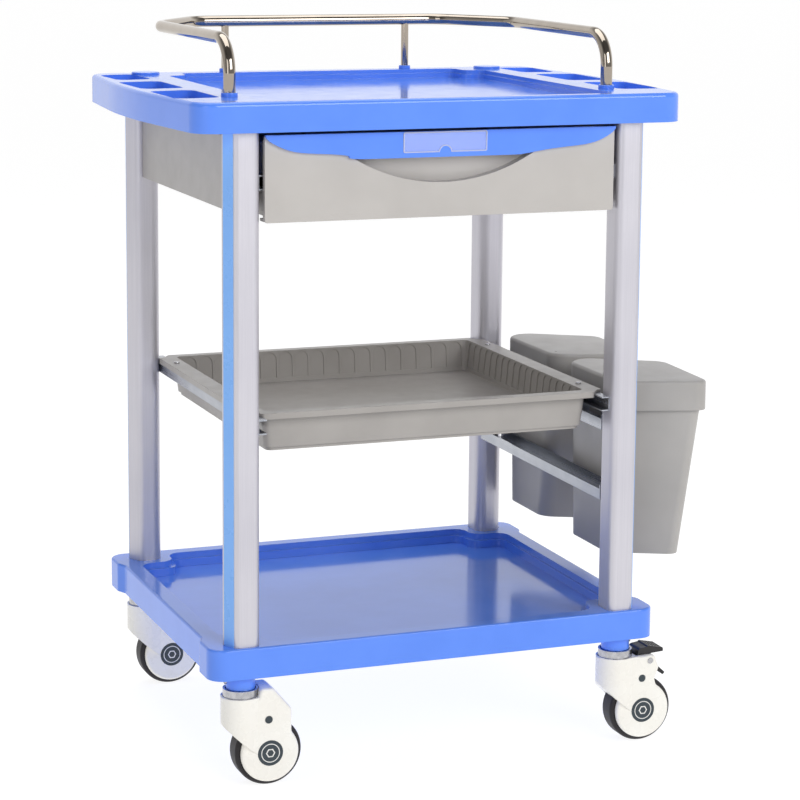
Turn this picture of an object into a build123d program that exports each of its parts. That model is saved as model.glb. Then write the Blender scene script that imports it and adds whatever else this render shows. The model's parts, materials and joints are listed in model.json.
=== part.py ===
from build123d import *
import os
from math import atan, cos, degrees, hypot, pi, radians, sin, tan

# A medication cart: two moulded trays on four aluminium posts, a drawer under the top
# tray, a ribbed middle tray, two lidded bins hung on the right end, four castors.
# Millimetres, +Z up, floor at z = 0, front faces -Y. Everything is drawn with the four posts
# centred on x = y = 0 and moved sideways by origin_shift when it is written, so that the
# origin lies on the floor under the middle of the whole cart, bins included.

# ---- driving dimensions ----------------------------------------------------------------
post_x = 237.0            # post centres, sideways
post_y = 205.0            # post centres, front to back
post_w = 41.0             # post section across X
post_d = 40.0             # post section across Y
post_wall = 2.2
post_in = 18.5             # post centre to its inner face, sideways
post_round = 13.0
castor_room = 52.0        # top of a wheel to the underside of the bottom tray
base_deep = 36.0          # bottom tray, underside to rim
top_bottom = 754.0        # underside of the top tray
top_deep = 34.0           # top tray, underside to rim
deck_past_y = 32.5        # top tray past the post centres, front and back
deck_past_x = 58.0        # top tray past the post centres, at its corners
deck_bow = 17.0           # how far its ends bow out
base_past_y = 25.0        # bottom tray past the post centres, front and back
base_past_x = 36.0        # bottom tray past the post centres, at its ends
corner_out = 6.0          # corner blocks stand proud of the tray ends
wheel_dia = 80.0
wheel_width = 26.0
wheel_lead = 10.0         # how far a wheel reaches in front of its swivel axis
rail_dia = 14.0
rail_up = 64.0            # centre line of the guard rail, above the top tray
drawer_travel = 280.0
shelf_rim = 431.0         # top of the middle tray's rim
shelf_depth = 43.0
bin_above = 3.0           # rim of a bin body, above the middle tray's rim
bin_deep = 217.0          # rim to underside
bin_pitch = 194.0         # the two bins are the same moulding, this far apart
origin_shift = -27.1      # the bins reach further right than the tray does left

# ---- walls and named clearances ----------------------------------------------------------
wall = 3.0
fit_run = 0.05            # pin in a bore, radial
fit_slide = 0.3           # sliding faces
fit_socket = 0.15         # post in its socket
swivel_gap = 0.5
side_gap = 5.5            # drawer front to post
sheet = 1.5               # zinc-plated steel sheet

# ---- worked out from the above -------------------------------------------------------------
inner_x = post_x - post_in
inner_y = post_y - post_d / 2
deck_half = post_y + deck_past_y
deck_end = post_x + deck_past_x
base_half = post_y + base_past_y
base_end = post_x + base_past_x
bin_top = shelf_rim + bin_above
bin_bottom = bin_top - bin_deep
wheel_r = wheel_dia / 2
wheel_trail = wheel_r - wheel_lead      # axle behind the swivel axis
base_bottom = wheel_dia + castor_room
base_top = base_bottom + base_deep
top_top = top_bottom + top_deep
rail_z = top_top + rail_up
socket_depth = 16.0
tray_floor = 4.0
corners = [(-1, -1), (1, -1), (-1, 1), (1, 1)]

os.makedirs("parts", exist_ok=True)


# ---- helpers -------------------------------------------------------------------------------
def save(name, *solids):
    """Write one node; several solids share it as a compound."""
    flat = [Pos(origin_shift, 0, 0) * one for item in solids for one in item.solids()]
    for one in flat:
        assert one.is_valid, name
    export_step(Compound(children=flat) if len(flat) > 1 else flat[0], f"parts/{name}.step")
    print(name, len(flat), "solids")


def outline(points):
    """Closed flat face through (x, y, corner radius) points taken in order."""
    ends = []
    for i, (x, y, r) in enumerate(points):
        here = Vector(x, y)
        back = (Vector(*points[i - 1][:2]) - here).normalized()
        ahead = (Vector(*points[(i + 1) % len(points)][:2]) - here).normalized()
        half = radians(back.get_angle(ahead)) / 2
        inward = (back + ahead).normalized()
        ends.append((here + back * (r / tan(half)), here + inward * (r / sin(half) - r),
                     here + ahead * (r / tan(half))))
    edges = []
    for i, (start, middle, end) in enumerate(ends):
        following = ends[(i + 1) % len(ends)][0]
        edges.append(Edge.make_three_point_arc(start, middle, end))
        if (following - end).length > 1e-4:
            edges.append(Edge.make_line(end, following))
    return Face(Wire(edges))


def mirrored_x(right):
    """Points of the right half, front to back, joined with their mirror image."""
    return right + [(-x, y, r) for x, y, r in reversed(right)]


def slab(face, low, high):
    """A flat outline made solid between two heights."""
    return extrude(Pos(0, 0, low) * face, high - low, dir=(0, 0, 1))


def block(x0, x1, y0, y1, z0, z1):
    """Box from its limits."""
    return Pos((x0 + x1) / 2, (y0 + y1) / 2, (z0 + z1) / 2) * Box(abs(x1 - x0), abs(y1 - y0), abs(z1 - z0))


def rod(x, y, z0, z1, r):
    """Upright cylinder."""
    return Pos(x, y, (z0 + z1) / 2) * Cylinder(r, z1 - z0)


def rod_y(x, z, y0, y1, r):
    """Cylinder along Y."""
    return Pos(x, (y0 + y1) / 2, z) * Rot(90, 0, 0) * Cylinder(r, abs(y1 - y0))


def rod_x(y, z, x0, x1, r):
    """Cylinder along X."""
    return Pos((x0 + x1) / 2, y, z) * Rot(0, 90, 0) * Cylinder(r, abs(x1 - x0))


def side_profile(points, y0, y1):
    """An X-Z outline of (x, z, radius) points made solid between y0 and y1."""
    face = Plane.XZ * outline(points)
    return Pos(0, y1, 0) * extrude(face, y1 - y0, dir=(0, -1, 0))


def round_top(solid, radius):
    """Round every edge that lies in the solid's top plane."""
    top = solid.bounding_box().max.Z
    return fillet([e for e in solid.edges() if abs(e.bounding_box().min.Z - top) < 1e-4], radius)


def around(values):
    """The same (x, y) point at all four corners."""
    return [(sx * values[0], sy * values[1]) for sx, sy in corners]


# ---- post profile: a rounded box with an oblique outer face that carries the strip --------
strip_width = 16.0
strip_deep = 2.0
strip_proud = 0.5
facet_start = (post_w / 2, 0.0)
facet_angle = radians(26.0)
facet_len = strip_width + 4.0
facet_end = (facet_start[0] - facet_len * sin(facet_angle), facet_start[1] + facet_len * cos(facet_angle))


slope_at = 11.0            # where the outer side starts to slope in
slope_round = 10.0


def facet_point(along, out):
    """A point on the oblique face: along it from its start, and out of it."""
    return (facet_start[0] - along * sin(facet_angle) + out * cos(facet_angle),
            facet_start[1] + along * cos(facet_angle) + out * sin(facet_angle))


def post_points(grow):
    """Outer outline of a post, grown by a clearance: round towards the cart, sloped on its outer side."""
    half_d = post_d / 2
    first, last = facet_point(0, grow), facet_point(facet_len, grow)
    return [(-post_in - grow, -half_d - grow, post_round + grow), (slope_at + grow, -half_d - grow, slope_round + grow),
            (first[0], first[1] - 1, 1.5), (last[0], last[1], 1.5),
            (last[0] - 4, half_d + grow, 2), (-post_in - grow, half_d + grow, 9 + grow)]


def at_corner(points, sx, sy):
    """Corner outline placed at one post, turned so that its oblique face looks outwards."""
    return outline([(sx * (post_x + x), sy * (post_y + y), r) for x, y, r in points])


def post_hollow():
    half_in, half_d = post_in - post_wall, post_d / 2 - post_wall
    first, last = facet_point(0, -post_wall - strip_deep), facet_point(facet_len, -post_wall - strip_deep)
    return [(-half_in, -half_d, post_round - post_wall), (slope_at - post_wall, -half_d, slope_round - post_wall),
            (first[0], first[1], 2), (last[0], last[1], 1.0), (last[0] - 2, half_d, 1), (-half_in, half_d, 6)]


def strip_points(deep, out, slack):
    edge = (facet_len - strip_width) / 2 - slack
    quad = [facet_point(edge, -deep), facet_point(facet_len - edge, -deep),
            facet_point(facet_len - edge, out), facet_point(edge, out)]
    return [(x, y, 0.3) for x, y in quad]


post_low = base_top - socket_depth
post_high = top_bottom + socket_depth - 1.0
posts = []
strips = []
for sx, sy in corners:
    tube = slab(at_corner(post_points(0), sx, sy), post_low, post_high)
    tube -= slab(at_corner(post_hollow(), sx, sy), post_low, post_high)
    tube -= slab(at_corner(strip_points(strip_deep, 3, 0), sx, sy), base_top, top_bottom)
    posts.append(tube)
    strips.append(slab(at_corner(strip_points(strip_deep, strip_proud, 0), sx, sy), base_top, top_bottom))
save("posts", *posts)
save("post_strips", *strips)


def post_sockets(low, high):
    return [slab(at_corner(post_points(fit_socket), sx, sy), low, high) for sx, sy in corners]


# ---- top tray --------------------------------------------------------------------------------
rim_step = 5.0
recess_depth = 11.0
recess_x = inner_x - 6.5
recess_front = deck_half - 15.5
recess_back = deck_half - 29.5
rail_leg = (post_x - 4.0, 50.0 - post_y)
stub_at = (post_x - 115.0, deck_half - 15.5)
stub_r = 4.75
rail_hole = 9.0


def deck_points(inset):
    end, half = deck_end - inset, deck_half - inset
    return mirrored_x([(end, -half, 27 - inset), (end + deck_bow, -50, 900), (end + deck_bow, 50, 900),
                       (end, half, 27 - inset)])


def deck_recess(inset, r):
    """The well: it steps in at the back to leave a pad over each rear post."""
    x, step_x = recess_x - inset, recess_x - 26 - inset
    step_y, back = inner_y - 13 - inset, recess_back - inset
    return mirrored_x([(x, -recess_front + inset, r + 6), (x, step_y, r), (step_x, step_y, r), (step_x, back, r)])


top_tray = round_top(slab(outline(deck_points(0)), top_bottom, top_top), 5)
top_tray -= slab(outline(deck_recess(0, 13)), top_top - rim_step, top_top)
top_tray -= slab(outline(deck_recess(3, 12)), top_top - recess_depth, top_top - rim_step)
pocket_in = deck_end - 49
pocket_run = 2 * deck_half / 475
pocket_spans = [(-172, -54, 4), (-28, 89, 3), (115, 208, -5)]
for start, stop, reach in pocket_spans:
    near, far = start * pocket_run, stop * pocket_run
    for sx in (-1, 1):
        pocket = [(sx * pocket_in, near + 6, 12), (sx * (deck_end + reach), near, 12),
                  (sx * (deck_end + reach + 2), far - 8, 12), (sx * pocket_in, far, 12)]
        top_tray -= slab(outline(pocket), top_top - 9, top_top)
hollow = slab(outline(deck_points(4)), top_bottom, top_top - recess_depth - tray_floor)
for sx, sy in corners:
    hollow -= block(sx * (inner_x - 8), sx * (deck_end + 30), sy * (inner_y - 8), sy * (deck_half + 5),
                    top_bottom, top_top)
for x in (-inner_x * 0.64, 0, inner_x * 0.64):
    hollow -= block(x - 1.5, x + 1.5, -deck_half, deck_half, top_bottom + 6, top_top)
hollow -= block(-deck_end - 30, deck_end + 30, -1.5, 1.5, top_bottom + 6, top_top)
top_tray -= hollow
for socket in post_sockets(top_bottom, post_high):
    top_tray -= socket
for sx in (-1, 1):
    top_tray -= rod(sx * rail_leg[0], rail_leg[1], top_top - rail_hole, top_top, rail_dia / 2 + fit_run)
    top_tray -= rod(sx * stub_at[0], stub_at[1], top_top - rail_hole, top_top, stub_r + fit_run)
save("top_tray", top_tray)

post_caps = [round_top(rod(sx * (post_x - 6), post_y, top_top, top_top + 3, 17.5), 1.2) for sx in (-1, 1)]
save("post_caps", *post_caps)

# ---- guard rail ------------------------------------------------------------------------------
rail_side = post_x - 2.0
rail_turn = (rail_side, deck_half - 112.5)
rail_back = (stub_at[0] + 43.0, stub_at[1])
rail_foot = top_top - rail_hole
half_path = [(rail_leg[0], rail_leg[1], rail_foot), (rail_leg[0], rail_leg[1], rail_z),
             (rail_turn[0], rail_turn[1], rail_z), (rail_back[0], rail_back[1], rail_z)]
rail_path = FilletPolyline(*half_path, *[(-x, y, z) for x, y, z in reversed(half_path)], radius=38)
foot = Plane(origin=half_path[0], z_dir=(0, 0, 1))
guard_rail = sweep(foot * (Circle(rail_dia / 2) - Circle(rail_dia / 2 - 1.2)), path=rail_path)
rail_solid = sweep(foot * Circle(rail_dia / 2), path=rail_path)
save("guard_rail", guard_rail)
stubs = [rod(sx * stub_at[0], stub_at[1], rail_foot, rail_z, stub_r) - rail_solid for sx in (-1, 1)]
save("rail_stubs", *[max(s.solids(), key=lambda one: one.volume) for s in stubs])


def collar(x, y, hole, outer, height):
    ring = round_top(rod(x, y, top_top, top_top + height, outer), 1.2)
    return ring - rod(x, y, top_top, top_top + height, hole + fit_run)


collars = [collar(sx * rail_leg[0], rail_leg[1], rail_dia / 2, 9.5, 4.5) for sx in (-1, 1)]
collars += [collar(sx * stub_at[0], stub_at[1], stub_r, 7.5, 4.5) for sx in (-1, 1)]
save("rail_collars", *collars)

# ---- bottom tray -----------------------------------------------------------------------------
block_len = 48.0
block_ease = 14.0          # length of the easing from a corner block to the tray's end
base_floor = base_top - 18.0
boss = 33.0


def base_points(inset):
    end, half, out = base_end - inset, base_half - inset, corner_out
    step = base_half - block_len - inset
    quarter = [(end + out, -half, 20 - inset), (end + out, -step, 8), (end, -step + block_ease, 8)]
    back = [(x, -y, r) for x, y, r in reversed(quarter)]
    return mirrored_x(quarter + back)


def base_recess(inset, r):
    """The well steps in round each post."""
    x, y = base_end - 21 - inset, base_half - 20 - inset
    step_x, step_y = inner_x - 12 - inset, inner_y - 13 - inset
    quarter = [(step_x, -y, r), (step_x, -step_y, r), (x, -step_y, r)]
    return mirrored_x(quarter + [(px, -py, pr) for px, py, pr in reversed(quarter)])


bottom_tray = round_top(slab(outline(base_points(0)), base_bottom, base_top), 2.5)
bottom_tray -= slab(outline(base_recess(0, 17)), base_top - 8, base_top)
bottom_tray -= slab(outline(base_recess(4, 15)), base_floor, base_top - 8)
under = slab(outline(base_points(4)), base_bottom, base_floor - tray_floor)
for px, py in around((post_x, post_y)):
    under -= block(px - boss, px + boss, py - boss, py + boss, base_bottom, base_top)
for x in (-0.62 * inner_x, -0.2 * inner_x, 0.2 * inner_x, 0.62 * inner_x):
    under -= block(x - 1.5, x + 1.5, -base_half, base_half, base_bottom + 4, base_top)
for y in (-75, 75):
    under -= block(-base_end - 10, base_end + 10, y - 1.5, y + 1.5, base_bottom + 4, base_top)
bottom_tray -= under
for socket in post_sockets(post_low, base_top):
    bottom_tray -= socket
stem_r = 5.0
for px, py in around((post_x, post_y)):
    bottom_tray -= rod(px, py, base_bottom, post_low, stem_r)
save("bottom_tray", bottom_tray)

# ---- castor mountings on the tray: collar, threaded stem with its bearing ring, set screw ---
collar_low = base_bottom - 16.0
ring_low = collar_low - 15.0
ring_r = 20.5
bore_r = 6.0
stem_low = ring_low - 24.5
collar_r = 17.0
screw_r = 2.4
screw_out = 2.5            # set screw head proud of its collar
screw_z = collar_low + 8.0
castor_collars = []
stems = []
set_screws = []
for px, py in around((post_x, post_y)):
    sleeve = rod(px, py, collar_low, base_bottom, collar_r) - rod(px, py, collar_low, base_bottom, stem_r)
    side = -1 if px < 0 else 1
    castor_collars.append(sleeve - rod_x(py, screw_z, px + side * 6, px + side * 30, screw_r))
    set_screws.append(rod_x(py, screw_z, px + side * (stem_r + 1), px + side * (collar_r + screw_out), screw_r)
                      - rod_x(py, screw_z, px + side * (collar_r + 0.5), px + side * 25, 1.2))
    stem = rod(px, py, ring_low, post_low, stem_r) + rod(px, py, stem_low, ring_low, bore_r)
    ring = rod(px, py, ring_low, collar_low, ring_r) - rod(px, py, ring_low + 3, collar_low, ring_r - 2.5)
    ring += rod(px, py, ring_low, collar_low, bore_r + 3)
    stems.append(stem + ring)
save("castor_collars", *castor_collars)
save("castor_stems", *stems)
save("set_screws", *set_screws)

# ---- castors -----------------------------------------------------------------------------------
cover_half = 19.5
nose_r = 23.0
flat_from = 18.0          # behind the swivel, where the shell's sides turn parallel
nose_top = ring_low + 6.0
hump_top = ring_low + 16.0
clear_top = base_bottom   # cutters reach this high
slot_half = wheel_width / 2 + 0.6
slot_r = wheel_r + 2.2
axle_r = 4.0
badge_r = 15.0
lobe_r = wheel_r - 5.5
hump_x = collar_r + 2.0   # front of the hump behind the bearing ring
shell_round = 3.5
pin_up = wheel_r             # brake pin above the axle
plain = {"fl": (-1, -1), "br": (1, 1)}
braked = {"fr": (1, -1), "bl": (-1, 1)}
pedal_pivot = (wheel_trail + 8.5, ring_low)
pedal_slot = 7.0
pedal_wide = 13.0
pedal_pin_r = 3.5


def castor_cover(brake):
    """Shell of a castor: a round nose about the swivel, running into a flat-sided hood over the wheel."""
    cx, cz = wheel_trail, wheel_r
    neck = cx + lobe_r - 9
    if brake:
        back = [(neck - 10, ring_low - 23, 6), (neck - 4.5, ring_low - 10, 5), (neck - 10.5, ring_low + 7, 6),
                (-8, ring_low + 5, 5)]
    else:
        back = [(neck + 1, ring_low - 11, 9), (neck - 12.5, ring_low + 5, 9), (neck - 21.5, hump_top, 7), (hump_x, hump_top, 5),
                (hump_x - 3, nose_top - 1, 2), (-8, nose_top - 1, 5)]
    hood = [(cx - 8, cz, 2), (neck, cz, 2)] + back + [(-8, cz + 24, 5)]
    hood = Plane.XZ * (outline(hood) + Pos(cx, cz) * Circle(lobe_r))
    hood = Pos(0, cover_half, 0) * extrude(hood, 2 * cover_half, dir=(0, -1, 0))
    waist = [e for e in hood.edges().filter_by(Axis.Y)
             if abs(hypot(e.center().X - cx, e.center().Z - cz) - lobe_r) < 0.2 and e.center().Z > cz + 5]
    hood = fillet(waist, 8)
    hood = fillet([e for e in hood.edges() if abs(abs(e.center().Y) - cover_half) < 1e-3], shell_round)
    nose = side_profile([(-nose_r, nose_top, 2), (-nose_r, cz + 33, 10), (cx - lobe_r + 0.5, cz + 15, 6), (cx - 16, cz, 2),
                         (flat_from, cz, 2), (flat_from + 12, nose_top, 2)], -nose_r, nose_r)
    plan = [(-nose_r, -nose_r, nose_r - 0.1), (3, -nose_r, 12), (flat_from, 1 - cover_half, 22), (cx + 20, 3 - cover_half, 1)]
    nose &= slab(outline(plan + [(x, -y, r) for x, y, r in reversed(plan)]), 0, clear_top)
    for side in (-1, 1):
        disc_seat = rod_y(cx, cz, side * (cover_half - 1), side * (cover_half + 6), badge_r + 0.1)
        pin_seat = rod_y(cx - 2, cz + pin_up, side * (cover_half - 1.5), side * (cover_half + 6), 4.6)
        hood -= [disc_seat, pin_seat]
        nose -= [disc_seat, pin_seat]
    shell = hood + nose
    shell -= rod(0, 0, ring_low - swivel_gap, clear_top, ring_r + fit_slide)
    shell -= rod(0, 0, stem_low - swivel_gap, ring_low, bore_r + fit_run)
    wheel_space = rod_y(cx, cz, -slot_half, slot_half, slot_r)
    shell -= wheel_space + block(cx - slot_r, cx + slot_r, -slot_half, slot_half, -5, cz)
    shell -= rod_y(cx, cz, -cover_half - 1, cover_half + 1, axle_r)
    if brake:
        px, pz = pedal_pivot
        for half, low in ((pedal_slot, pz - 22), (pedal_wide, pz - 1)):
            shell -= block(px - 16.5, px + 40, -half - fit_slide, half + fit_slide, low, clear_top)
        shell -= rod_y(*pedal_pivot, -cover_half - 1, cover_half + 1, pedal_pin_r)
    return max(shell.solids(), key=lambda one: one.volume)


def castor_tyre():
    ring = rod_y(wheel_trail, wheel_r, -wheel_width / 2, wheel_width / 2, wheel_r)
    ring = fillet(ring.edges().filter_by(GeomType.CIRCLE), 4.5)
    return ring - rod_y(wheel_trail, wheel_r, -wheel_width / 2, wheel_width / 2, wheel_r - 10)


def castor_hub():
    half = wheel_width / 2
    hub = rod_y(wheel_trail, wheel_r, -half, half, wheel_r - 10)
    for side in (-1, 1):
        dish = rod_y(wheel_trail, wheel_r, side * (half - 8), side * half, wheel_r - 13)
        dish -= rod_y(wheel_trail, wheel_r, side * (half - 8), side * half, 9)
        hub -= dish
    return hub - rod_y(wheel_trail, wheel_r, -half, half, axle_r + fit_run)


def castor_pedal():
    """Ribbed foot pedal on a rocker arm, with a release tab behind."""
    px, pz = pedal_pivot
    half, wide = pedal_slot, pedal_wide
    arm = side_profile([(px - 6, pz - 8, 3), (px + 8, pz - 9, 3), (px + 6, pz + 10, 2), (px - 7, pz + 10, 2)], -half, half)
    root = side_profile([(px - 14, pz + 4, 2), (px - 13, pz + 14, 4), (px + 1, pz + 16, 3), (px + 2, pz + 4, 2)], -wide, wide)
    tread = side_profile([(px - 1, pz + 7, 1), (px - 2, pz + 17.5, 2), (px + 20, pz + 13, 2), (px + 20, pz + 8.5, 1)],
                         -wide, wide)
    for k in range(4):
        x = px + 3 + 4.2 * k
        tread -= Pos(x, 0, pz + 17.2 - 0.205 * (x - px)) * Box(1.8, 2 * wide - 5, 2.4)
    tab = side_profile([(px + 2, pz - 7, 1), (px + 6, pz - 2, 1), (px + 27, pz - 21, 1), (px + 24.5, pz - 24, 1)], -5, 5)
    return arm + root + tread + tab - rod_y(px, pz, -20, 20, pedal_pin_r + fit_run)


cover_shapes = {True: castor_cover(True), False: castor_cover(False)}
tyre, hub, pedal = castor_tyre(), castor_hub(), castor_pedal()
axle = rod_y(wheel_trail, wheel_r, -cover_half + 1, cover_half - 1, axle_r)
badges = [rod_y(wheel_trail, wheel_r, side * (cover_half - 1), side * (cover_half + 0.2), badge_r) for side in (-1, 1)]
rivets = [rod_y(wheel_trail - 2, wheel_r + pin_up, side * (cover_half - 1.5), side * (cover_half + 0.2), 4.5)
          for side in (-1, 1)]
for name, (sx, sy) in {**plain, **braked}.items():
    place = Pos(sx * post_x, sy * post_y, 0)
    save(f"castor_cover_{name}", place * cover_shapes[name in braked])
    save(f"castor_axle_{name}", place * axle)
    save(f"castor_badges_{name}", *[place * b for b in badges + rivets])
    save(f"castor_hub_{name}", place * hub)
    save(f"castor_tyre_{name}", place * tyre)
    if name in braked:
        save(f"brake_pedal_{name}", place * pedal)
        save(f"brake_pin_{name}", place * rod_y(*pedal_pivot, -cover_half - 0.8, cover_half + 0.8, pedal_pin_r))

# ---- steel channels across each side, on the inner faces of the posts -----------------------
channel_h = 17.0
channel_in = 10.5
channel_end = post_y + 9.0
shelf_channel_z = shelf_rim - 3 - channel_h
drawer_channel_z = top_bottom - 66.0


def channel(sx, low):
    """C section open towards the middle of the cart, from front post to back post."""
    web = block(sx * (inner_x - sheet), sx * inner_x, -channel_end, channel_end, low, low + channel_h)
    top = block(sx * (inner_x - channel_in), sx * inner_x, -channel_end, channel_end, low + channel_h - sheet, low + channel_h)
    foot_plate = block(sx * (inner_x - channel_in), sx * inner_x, -channel_end, channel_end, low, low + sheet)
    section = web + top + foot_plate
    for y in (-post_y - 3, 6 - post_y, post_y - 6, post_y + 3):
        section -= rod_x(y, low + channel_h / 2, sx * (inner_x - 3), sx * (inner_x + 1), 1.7)
    return section


def channel_screws(sx, low):
    return [rod_x(y, low + channel_h / 2, sx * (inner_x - sheet), sx * (inner_x + 5), 1.7) for y in (6 - post_y, post_y - 6)]


save("shelf_channels", channel(-1, shelf_channel_z), channel(1, shelf_channel_z))
save("drawer_channels", channel(-1, drawer_channel_z), channel(1, drawer_channel_z))
save("channel_screws", *[s for sx in (-1, 1) for low in (shelf_channel_z, drawer_channel_z)
                         for s in channel_screws(sx, low)])

# ---- drawer housing -------------------------------------------------------------------------
housing_low = top_bottom - 93.0
housing_x = post_x + 4.0


def side_panel(sx):
    """Moulded side cover between the front and back posts, with a turned-in lower lip."""
    panel = block(sx * (housing_x - wall), sx * housing_x, -inner_y + 0.3, inner_y - 0.3, housing_low, top_bottom)
    lip = block(sx * (inner_x + 4), sx * housing_x, -inner_y + 0.3, inner_y - 0.3, housing_low, housing_low + wall)
    rib = block(sx * housing_x, sx * (housing_x + 1), -inner_y + 8, inner_y - 8, top_bottom - 12, top_bottom - 9)
    return panel + lip + rib


save("housing_sides", side_panel(-1), side_panel(1))
housing_back = block(-inner_x + 0.3, inner_x - 0.3, inner_y + 8, inner_y + 8 + wall, housing_low, top_bottom)
for sx in (-1, 1):
    housing_back -= block(sx * (inner_x - channel_in - 0.3), sx * (inner_x + 1), inner_y, inner_y + 20,
                          drawer_channel_z - 0.3, drawer_channel_z + channel_h + 0.3)
save("housing_back", housing_back)

# ---- drawer ---------------------------------------------------------------------------------
front_face = 15.5 - deck_half
front_low = top_bottom - 102.0
front_high = top_bottom - 4.0
front_half = inner_x - side_gap
box_half = inner_x - channel_in - 2.0
box_low = front_low + 5.0
box_high = top_bottom - 16.0
box_back = inner_y - 13.0
band_low = top_bottom - 33.5
band_flat = 0.4 * front_half
band_ramp = 27.0            # from the drawer's end to where the band's edge steepens
scoop_low = band_low - 29.0
scoop_half = 0.535 * front_half


def xz_face(edges):
    return Face(Wire(edges))


def extrude_y(face, y0, y1):
    """Push an outline drawn at y = 0 to fill y0 to y1."""
    return Pos(0, y0, 0) * extrude(face, abs(y1 - y0), dir=(0, 1, 0))


def band_face(half, high, low, flat):
    """The blue pull band: straight top, lower edge rising gently from a flat middle, then steeply at its ends."""
    ramp = half - band_ramp
    curve = [(flat, low), (flat + 30, low + 3.5), (ramp - 35, low + 7.5), (ramp, low + 12), (half - 7, low + 21),
             (half, high - 2)]
    right = Edge.make_spline([Vector(x, 0, z) for x, z in curve], tangents=[Vector(1, 0, 0), Vector(0.5, 0, 1)])
    left = Edge.make_spline([Vector(-x, 0, z) for x, z in reversed(curve)], tangents=[Vector(0.5, 0, -1), Vector(1, 0, 0)])
    return xz_face([Edge.make_line(Vector(-flat, 0, low), Vector(flat, 0, low)), right,
                    Edge.make_line(Vector(half, 0, high - 2), Vector(half, 0, high)),
                    Edge.make_line(Vector(half, 0, high), Vector(-half, 0, high)),
                    Edge.make_line(Vector(-half, 0, high), Vector(-half, 0, high - 2)), left])


def scoop_face(half, low, top):
    """The finger scoop: a long smile under the band."""
    smile = Edge.make_three_point_arc(Vector(-half, 0, top), Vector(0, 0, low), Vector(half, 0, top))
    return xz_face([smile, Edge.make_line(Vector(half, 0, top), Vector(-half, 0, top))])


scoop_deep = 14.0
front_wall = 4.0
ledge = 14.0              # bracing shelf between the front and the box
front_back = front_face + front_wall
drawer_front = block(-front_half, front_half, front_face, front_back, front_low, front_high)
drawer_front = fillet(drawer_front.edges().filter_by(Axis.Y), 3)
scoop_top = band_low + 4.0
drawer_front += extrude_y(scoop_face(scoop_half + 8, scoop_low - 3, scoop_top + 2), front_face + 1, front_face + scoop_deep + 3)
drawer_front -= extrude_y(scoop_face(scoop_half, scoop_low, scoop_top), front_face - 1, front_face + scoop_deep)
for sx in (-1, 1):
    drawer_front += block(sx * (front_half - 3), sx * front_half, front_back, front_back + 3.5, front_low + 4, front_high - 6)
drawer_front += block(-front_half, front_half, front_back, front_back + ledge, front_low + 1, front_low + 1 + wall)
save("drawer_front", drawer_front)

band_proud = 4.0
band = extrude_y(band_face(front_half, front_high, band_low, band_flat), front_face - band_proud, front_face)
save("drawer_band", band)
label_half = 51.0
label_low = band_low + 5.5
label = block(-label_half, label_half, front_face - band_proud - 1.2, front_face - band_proud, label_low, front_high - 0.5)
label -= rod_y(0, label_low, front_face - 10, front_face, 6.0)
save("label_cover", label)

box_front = front_back + ledge
drawer_box = block(-box_half, box_half, front_back, box_back, box_low, box_high)
drawer_box -= block(-box_half + 2.5, box_half - 2.5, box_front + 2.5, box_back - 2.5, box_low + 2.5, box_high)
drawer_box -= block(-box_half - 1, box_half + 1, front_back - 1, box_front, box_low - 1, box_high + 1)
save("drawer_box", drawer_box)
tie = [block(sx * 150 - 12, sx * 150 + 12, front_back, box_front, box_low + 7, box_low + 27) for sx in (-1, 1)]
save("drawer_ties", *tie)


def inner_runner(sx):
    """C section that slides inside the fixed channel."""
    low = drawer_channel_z + sheet + fit_slide
    high = drawer_channel_z + channel_h - sheet - fit_slide
    x_in, x_out = box_half, inner_x - sheet - fit_slide
    web = block(sx * x_in, sx * (x_in + sheet), front_face + 17, box_back - 4, low, high)
    top = block(sx * x_in, sx * x_out, front_face + 17, box_back - 4, high - sheet, high)
    foot_plate = block(sx * x_in, sx * x_out, front_face + 17, box_back - 4, low, low + sheet)
    return web + top + foot_plate


save("drawer_runners", inner_runner(-1), inner_runner(1))

# ---- middle tray ----------------------------------------------------------------------------
shelf_x = inner_x - 15.5
shelf_front = 21.0 - post_y
shelf_back = post_y - 17.0
draft = 4.0
lip = 7.0


def shelf_ring(grow_x, grow_y):
    y0, y1 = shelf_front - grow_y, shelf_back + grow_y
    return [(shelf_x + grow_x, y0, 8), (shelf_x + grow_x, y1, 8), (-shelf_x - grow_x, y1, 8), (-shelf_x - grow_x, y0, 8)]


def flange_points(inset):
    """Rim outline: wide sides that fit between the posts, cut back at the corners."""
    side, gap = inner_x + 3.5 - inset, inner_y - 2 - inset
    front, back = shelf_front - 12 + inset, shelf_back + 10 - inset
    half = [(shelf_x + 3 - inset, front, 4), (inner_x - 3 - inset, -gap - 1, 3), (side, -gap, 2), (side, gap, 2),
            (inner_x - 3 - inset, gap + 1, 3), (shelf_x + 3 - inset, back, 4)]
    return mirrored_x(half)


def tapered(inset, low, high, base_low):
    """A tray shape that narrows towards the floor."""
    scale_in = draft * (shelf_rim - low) / (shelf_rim - base_low)
    upper = Pos(0, 0, high) * outline(shelf_ring(-inset, -inset))
    lower = Pos(0, 0, low) * outline(shelf_ring(-inset - scale_in, -inset - scale_in))
    return loft([lower, upper])


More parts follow.
